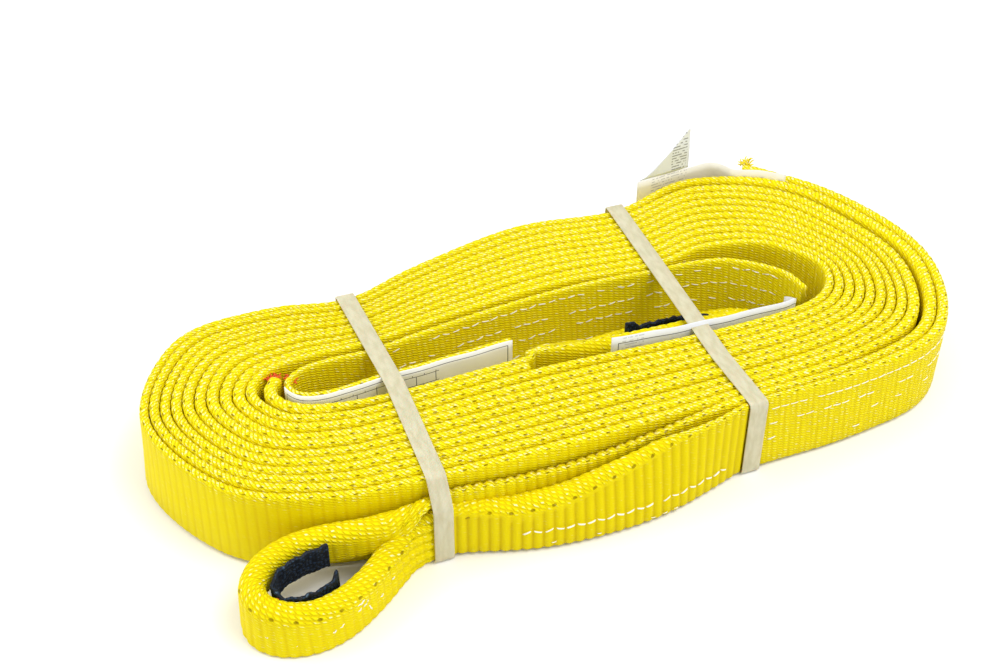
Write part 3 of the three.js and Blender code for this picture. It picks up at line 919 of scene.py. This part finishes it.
def strapping_band(name, node, sway):
    """A thin band round the coil, from the outer outline of its CAD loop. sway is its sideways
    drift in millimetres, by plan y."""
    outer = cap_loops(node, axis=0)[0]
    lo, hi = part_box(node)
    centre_x = (lo.x + hi.x) / 2
    width = hi.x - lo.x
    loop = np.concatenate([outer[:, 1:], outer[:1, 1:]])
    dense = at_lengths(loop, np.linspace(0, path_length(loop), 420, endpoint=False))
    for _ in range(3):
        dense = (np.roll(dense, 1, 0) + 2 * dense + np.roll(dense, -1, 0)) / 4
    # The section, round from one side of its outer face.
    across = np.array([-0.5, -0.46, 0.46, 0.5, 0.5, 0.46, -0.46, -0.5])
    depth = np.array([0.2, 0.0, 0.0, 0.2, 0.8, 1.0, 1.0, 0.8]) * BAND_THICKNESS
    d = np.roll(dense, -1, 0) - np.roll(dense, 1, 0)
    d /= np.linalg.norm(d, axis=1)[:, None]
    right = np.stack([d[:, 1], -d[:, 0]], 1)
    sign = 1 if ((dense - dense.mean(0)) * right).sum() > 0 else -1
    normal = sign * right
    x = centre_x + sway((dense[:, 0] - SHIFT_Y) / MM) * MM
    rings = np.zeros((len(dense), 8, 3))
    rings[:, :, 0] = x[:, None] + across[None, :] * width
    rings[:, :, 1] = dense[:, [0]] - normal[:, [0]] * depth[None, :]
    rings[:, :, 2] = dense[:, [1]] - normal[:, [1]] * depth[None, :]
    if sign < 0:
        rings = rings[:, ::-1]
    v = np.array([0, 0.3, 10.2, 10.5, 11.2, 11.5, 21.4, 21.7, 22]) * MM
    obj = loft(name, rings, arc_lengths(dense), v, BAND, closed=True)
    says(obj, "coil", "strapping_band", node)


# ---- Labels ----
TAPE_HALF = 0.25 * MM


def label_strip(name, node, start, on="web_inner_splice", lift=None, part=1.0, **printing):
    """A label that lies on a ply, along part of its CAD node. lift is what its upper edge rises
    in millimetres, by the share of its length."""
    fine = oriented(smooth_line(strip_line(node)), start)
    length = path_length(fine) * part
    s = np.linspace(0, length, max(20, int(length / (1.5 * MM))))
    line = at_lengths(fine, s)
    lo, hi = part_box(node)
    w = np.linspace(0, 1, 10)[None, :]
    high = np.full(len(s), hi.z) + (0 if lift is None else lift(s / length) * MM)
    z = lo.z + w * (high[:, None] - lo.z)
    t = 0.3 * MM * np.sin(math.tau * s / (31 * MM))[:, None] * w ** 2
    ring_t = np.concatenate([t + TAPE_HALF, (t - TAPE_HALF)[:, ::-1]], 1)
    ring_z = np.concatenate([z, z[:, ::-1]], 1)
    rings = ply_rings(line, ring_t, ring_z)
    width = hi.z - lo.z
    up = w[0] * width
    v = np.concatenate([up, 2 * width + 0.5 * MM - up[::-1], [2 * width + 0.5 * MM]])
    material = label_material(name + "_tape", width * TO_CM, length * TO_CM, **printing)
    obj = loft(name, rings, s, v, material)
    says(obj, "coil", "label", node)


def label_flap():
    """The outer label's free corner: a pointed sail that stands on the strip, bowed a little."""
    lo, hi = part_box("label_outer_flap")
    low_left = Vector((lo.x, lo.y + 0.3 * MM, lo.z))
    low_right = Vector((hi.x, hi.y - 0.3 * MM, lo.z))
    along = low_right - low_left
    across = Vector((along.y, -along.x, 0)).normalized()
    rows, columns = 18, 14
    wide = columns + 1
    verts, uvs, faces = [], [], []
    for side in (1, -1):
        for j in range(rows + 1):
            h = j / rows
            left = 0.975 * (0.62 * h + 0.38 * h ** 0.55)
            for i in range(columns + 1):
                f = left + (0.975 - left + 0.025 * (1 - h)) * i / columns
                bow = 1.3 * MM * math.sin(math.pi * h) * (1 - f) + 0.15 * MM * math.sin(9 * h + 4 * f)
                p = low_left + along * f + across * (bow + side * 0.15 * MM)
                p.z = lo.z + h * (hi.z - lo.z - 0.2 * MM)
                verts.append(p)
                uvs.append((f * along.length * TO_CM, h * (hi.z - lo.z) * TO_CM))
    size = (rows + 1) * wide
    grid = np.arange(size).reshape(rows + 1, wide)
    for a in grid[:-1, :-1].ravel().tolist():
        faces.append((a, a + 1, a + wide + 1, a + wide))
    faces += [tuple(size + a for a in reversed(face)) for face in faces]
    rim = np.concatenate([grid[:0:-1, 0], grid[0], grid[1:, -1], grid[-1, -2:0:-1]]).tolist()
    for a, b in zip(rim, rim[1:] + rim[:1]):
        faces.append((b, a, a + size, b + size))
    material = label_material("label_flap_tape", 3.0, along.length * TO_CM, inset=9.0,
                              lines=(2.3, 3.4, 0.75), tint=(236, 241, 250))
    obj = mesh_object("label_flap", verts, faces, material, [uvs[i] for face in faces for i in face])
    says(obj, "label_flap", "label", "label_outer_flap")


# ---- Stitches and yarns ----
class Threads:
    """Collects short tubes and makes one mesh of them."""

    def __init__(self):
        self.verts, self.faces = [], []

    def add(self, path, radius, sides=6, taper=0.45):
        """One tube along the path, whose two ends are thinner by taper."""
        path = [Vector(p) for p in path]
        first = len(self.verts)
        for i, p in enumerate(path):
            d = (path[min(i + 1, len(path) - 1)] - path[max(i - 1, 0)]).normalized()
            side = d.orthogonal().normalized()
            up = d.cross(side)
            r = radius * (taper if i in (0, len(path) - 1) else 1)
            for j in range(sides):
                a = math.tau * j / sides
                self.verts.append(p + side * (math.cos(a) * r) + up * (math.sin(a) * r))
        for i in range(len(path) - 1):
            for j in range(sides):
                k = (j + 1) % sides
                a = first + i * sides
                self.faces.append((a + j, a + k, a + sides + k, a + sides + j))
        self.faces.append(tuple(first + j for j in reversed(range(sides))))
        last = first + (len(path) - 1) * sides
        self.faces.append(tuple(last + j for j in range(sides)))

    def make(self, name, material, body, slot, *nodes):
        obj = mesh_object(name, self.verts, self.faces, material)
        says(obj, body, slot, *nodes)


def point_at(a, s, values):
    """The row of values at the length a, where s has the rows' lengths."""
    return np.array([np.interp(a, s, values[:, 0]), np.interp(a, s, values[:, 1])])


def stitch_row(name, node, line, s, offset, height, span, zigzag, length, gap, radius, skip):
    """Stitches along a ply's face. offset(a), how far the face is from the line and signed to
    its right, height(a) and the span are in metres, the rest in millimetres. skip is the share of
    the stitches that is left out."""
    threads = Threads()
    normals = normals_of(line)
    zigzag, length, gap, radius = (value * MM for value in (zigzag, length, gap, radius))
    at = span[0]
    side = math.copysign(1, offset(at))
    flip = 1
    while at + length < span[1]:
        if random.random() > skip:
            tilt = zigzag * flip + random.uniform(-0.25, 0.25) * MM
            path = []
            for f, lift in ((0, -0.35), (0.15, 0.05), (0.5, 0.16), (0.85, 0.05), (1, -0.35)):
                a = at + f * length
                p = point_at(a, s, line) + point_at(a, s, normals) * (offset(a) + side * lift * MM)
                path.append((p[0], p[1], height(a) + tilt * (f - 0.5) * 2))
            threads.add(path, radius * random.uniform(0.8, 1.15))
        at += length + gap * random.uniform(0.7, 1.3)
        flip = -flip
    threads.make(name, WHITE_THREAD, "coil", "thread", node)


def splice_half(line):
    """Half the outer splice ply's thickness, which fills the way to the turn inside it."""
    turn = at_lengths(BODY[:STEPS_PER_TURN], np.arange(0, 1.2, 0.001))
    return np.clip(nearest(line, turn) / 2 - AIR, 2.05 * MM, 3.3 * MM)


def drift(a, seed, size=0.6 * MM):
    """A sewn row's slow drift up and down."""
    return size * (math.sin(a / 0.047 + seed) + 0.6 * math.sin(a / 0.019 + 2.3 * seed))


def tuft(name, body, material, slot, centre, spread, count, length, rise, radius):
    """Loose yarn ends that stand up and curl, from round a point of the plan. Lengths are in
    millimetres."""
    threads = Threads()
    for _ in range(count):
        x, y = plan(*(centre[k] + random.uniform(-1, 1) * spread[k] for k in (0, 1)))
        angle = random.uniform(0, math.tau)
        curl = random.uniform(-1.2, 1.2)
        size = length * MM * random.uniform(0.6, 1.2)
        p = Vector((x, y, (centre[2] - 2) * MM))
        path = [p.copy()]
        for k in range(6):
            angle += curl / 3
            p = p + Vector((math.cos(angle) * (1 - rise), math.sin(angle) * (1 - rise),
                            rise * (1 - 0.22 * k * (1 + 0.5 * curl)))) * (size / 6)
            path.append(p.copy())
        threads.add(path, radius * MM * random.uniform(0.7, 1.2), taper=0.5)
    threads.make(name, material, body, slot)


FACE_OUT = PLY_HALF + 0.2 * MM          # how far a ply's face is from its line
EYE_SCRAPS = ((0.735, 19.5, 5, 0.6), (0.75, 15.5, 4, 2.6), (0.765, 13.5, 2, -5), (0.745, 16.5, -2.5, -1),
              (0.69, 12.5, 3, 1.2), (0.675, 11.4, 2.4, 0.6), (0.60, 8.5, 2.6, 0.5), (0.55, 13.5, 2, 0.4),
              (0.80, 11.0, 2.4, 0.7), (0.84, 14.5, 2.2, 0.3), (0.78, 7.5, 2.0, 0.4))


def eye_scraps(line, s, length):
    """Bits of the row that closes the eye, on its outer face. Each is given by the share of the
    eye's length, the height, the run and the rise in millimetres."""
    threads = Threads()
    normals = normals_of(line)
    for f, height, run, rise in EYE_SCRAPS:
        path = []
        for k in range(5):
            a = length * f + run * MM * k / 4
            out = FACE_OUT + (0.1 if k in (0, 4) else 0.35) * MM
            p = point_at(a, s, line) + point_at(a, s, normals) * out
            path.append((p[0], p[1], (height + rise * k / 4 + 0.4 * math.sin(2.4 * k)) * MM))
        threads.add(path, 0.36 * MM)
    threads.make("eye_scraps", WHITE_THREAD, "outer_eye", "thread")


# ---- The pieces ----
web_body()
return_line, return_s, return_length = web_outer_return()
# The outer splice ply rises at its end, and the inner return ply's sewn end is marked in red.
splice_line, splice_s, splice_length = simple_ply(
    "web_outer_splice", "outer_splice_ply", (105, -99), 0.8, groove_depth=0.35 * MM, half=splice_half,
    top=lambda s, length: smoothstep((s - length + 0.03) / 0.03) * 3.6 * MM)
simple_ply("web_inner_return", "inner_return_ply", INNER_END, 0.5,
           half=lambda line: 2.7 * MM,
           outer=lambda x: (2.7 + 1.9 * smoothstep((-88 - x) / 25)) * MM,
           red=lambda s, length: np.where(s < 1.2 * MM, 0.8, 0.0))
leaf_line, leaf_s, leaf_length = simple_ply("web_inner_splice", "inner_splice_ply", (180.5, -21), 0.85,
                                            groove_depth=0.35 * MM)
eye_line, eye_s, eye_length = web_outer_eye()
web_inner_eye()

OUTER_LINING_TOP = ((0, 34.5), (0.3, 31.5), (0.5, 27.5), (0.62, 25.2), (0.9, 25.2), (0.95, 27), (1, 31))
OUTER_LINING_LOW = ((0, 20.5), (0.3, 18.5), (0.5, 14), (0.65, 10), (1, 9))
INNER_LINING_TOP = ((0, 41.5), (0.03, 41.5), (0.07, 36.8), (0.3, 36.2), (0.4, 34), (0.5, 26), (1, 20))
lining("lining_outer", "outer_eye_lining", (-129, -102), "outer_eye",
       lambda f, s: table(f, *OUTER_LINING_TOP) + 0.35 * np.sin(s / (0.8 * MM)),
       lambda f, s: table(f, *OUTER_LINING_LOW) + 0.3 * np.sin(s / (1.7 * MM)),
       shift=3.3 * MM, trim=7 * MM)
lining("lining_inner", "inner_eye_lining", (62, -12), "coil",
       lambda f, s: table(f, *INNER_LINING_TOP) + 0.35 * np.sin(s / (0.8 * MM)),
       lambda f, s: np.full(len(s), WEB_LOW / MM + 6), trim=14 * MM)

strapping_band("band_left", "left_band", lambda y: table(y, (-105, 1.3), (-20, 2.5), (60, -2.5)))
strapping_band("band_right", "right_band", lambda y: table(y, (-103, 1.5), (-60, -0.8), (90, 0.4)))

label_strip("label_left", "label_inner_left", (4, -6), part=0.86, lift=lambda f: np.full(len(f), 1.2),
            blocks=(4.4, 10.6))
label_strip("label_right", "label_inner_right", (54, -31.4), inset=0.4, lines=(0.6, 1.9, 0.35),
            lift=lambda f: table(f, (0, 6.5), (0.35, 5), (0.7, 2.6), (0.86, 0.5), (0.93, -7), (1, -12)),
            tint=(240, 243, 250))
label_strip("label_outer", "label_outer_strip", (130, 104.6), on="web_body", inset=9.0,
            lines=(1.0, 3.6, 0.4), tint=(244, 241, 230))
label_flap()

# The rows of stitches, with the height of each in millimetres and the share that is left out.
SPLICE_HALF = splice_half(splice_line)
for i, (z, skip) in enumerate(((8.5, 0.86), (19.5, 0.78), (31.0, 0.5), (42.0, 0.06))):
    stitch_row(f"stitches_outer_splice_{i + 1}", f"outer_splice_stitching_{i + 1}", splice_line,
               splice_s, lambda a: np.interp(a, splice_s, SPLICE_HALF) + 0.05 * MM,
               lambda a: WEB_LOW + z * MM + drift(a, i), (0.013, splice_length - 0.03),
               zigzag=0.2, length=5.2, gap=0.4, radius=0.28, skip=skip)
for i, (z, skip) in enumerate(((8.5, 0.3), (22.0, 0.25), (33.0, 0.2), (44.5, 0.15))):
    stitch_row(f"stitches_inner_splice_{i + 1}", f"inner_splice_stitching_{i + 1}", leaf_line,
               leaf_s, lambda a: -FACE_OUT,
               lambda a: WEB_LOW + z * MM + drift(a, i + 5, 0.9 * MM), (0.02, leaf_length * 0.575),
               zigzag=0.5, length=4.6, gap=1.5, radius=0.3, skip=skip)
stitch_row("stitches_outer_return_1", "outer_return_stitching_1", return_line, return_s,
           lambda a: FACE_OUT, lambda a: (13.5 + 2.0 * math.sin(a / 0.05)) * MM,
           (0.045, return_length - 0.012), zigzag=0.8, length=4.2, gap=1.4, radius=0.42, skip=0.03)
stitch_row("stitches_outer_return_2", "outer_return_stitching_2", return_line, return_s,
           lambda a: FACE_OUT, lambda a: (5.0 + 1.0 * math.sin(a / 0.03)) * MM,
           (0.06, return_length - 0.03), zigzag=0.3, length=2.6, gap=5.0, radius=0.25, skip=0.7)

# Scraps of thread and loose yarns.
eye_scraps(eye_line, eye_s, eye_length)
HIGH = WEB_HIGH / MM
tuft("red_yarns", "coil", RED_THREAD, "thread", (-127.4, 9.0, HIGH - 1), (3.0, 2.0), 30, 6, 0.4, 0.42)
tuft("red_yarns_tip", "coil", RED_THREAD, "thread", (-118.8, 5.0, HIGH - 1), (2.6, 2.0), 30, 6, 0.4, 0.42)
tuft("splice_fray", "coil", YELLOW_YARN, "webbing", (206.0, 104.5, HIGH + 1.5), (3.2, 2.4), 44, 9, 0.6, 0.4)
tuft("eye_mark", "outer_eye", RED_THREAD, "thread", (-161.0, -122.5, 27.5), (1.6, 1.6), 5, 3, 0.2, 0.3)


# ---- Stage, light and camera ----
def stage():
    material = Nodes("pale_floor")
    grain = material.noise(material.add("ShaderNodeTexCoord").outputs["Object"], 3.0)
    material.set(Base_Color=material.mix(grain, rgba(246, 246, 246), rgba(250, 250, 250)), Roughness=0.9)
    size = 6.0
    floor = mesh_object("floor", [(-size, -size, 0), (size, -size, 0), (size, size, 0), (-size, size, 0)],
                        [(0, 1, 2, 3)], material.material, shade_smooth=False)


def place(name, data, at, direction):
    """Puts a light or a camera at a point, looking in a direction."""
    obj = bpy.data.objects.new(name, data)
    obj.location = at
    obj.rotation_euler = direction.to_track_quat("-Z", "Y").to_euler()
    bpy.context.scene.collection.objects.link(obj)
    return obj


def area_light(name, at, target, size, power):
    """A round light at a point, turned to its target."""
    light = bpy.data.lights.new(name, "AREA")
    light.shape = "DISK"
    light.size = size
    light.energy = power
    place(name, light, at, Vector(target) - Vector(at))


def lights():
    world = bpy.data.worlds.new("world")
    world.use_nodes = True
    world.node_tree.nodes["Background"].inputs[0].default_value = (1.0, 1.0, 1.0, 1.0)
    world.node_tree.nodes["Background"].inputs[1].default_value = 0.8
    bpy.context.scene.world = world
    area_light("key", (0.6, -0.55, 1.6), (0.0, 0.0, 0.02), 1.1, 16)
    area_light("fill", (-1.2, 0.5, 1.0), (0.0, 0.0, 0.02), 1.2, 10)


CAMERA_LENS = 54.86
CAMERA_AZIMUTH = -20
CAMERA_ELEVATION = 40
CAMERA_DISTANCE = 0.85
CAMERA_TARGET = plan(0, 0) + (51.2 * MM,)


def camera():
    data = bpy.data.cameras.new("camera")
    data.lens = CAMERA_LENS
    data.sensor_width = 36
    data.clip_start = 0.01
    a, e = math.radians(CAMERA_AZIMUTH), math.radians(CAMERA_ELEVATION)
    back = Vector((math.sin(a) * math.cos(e), -math.cos(a) * math.cos(e), math.sin(e)))
    at = Vector(CAMERA_TARGET) + back * CAMERA_DISTANCE
    bpy.context.scene.camera = place("camera", data, at, -back)


stage()
lights()
camera()
bpy.context.scene.view_settings.view_transform = "Standard"
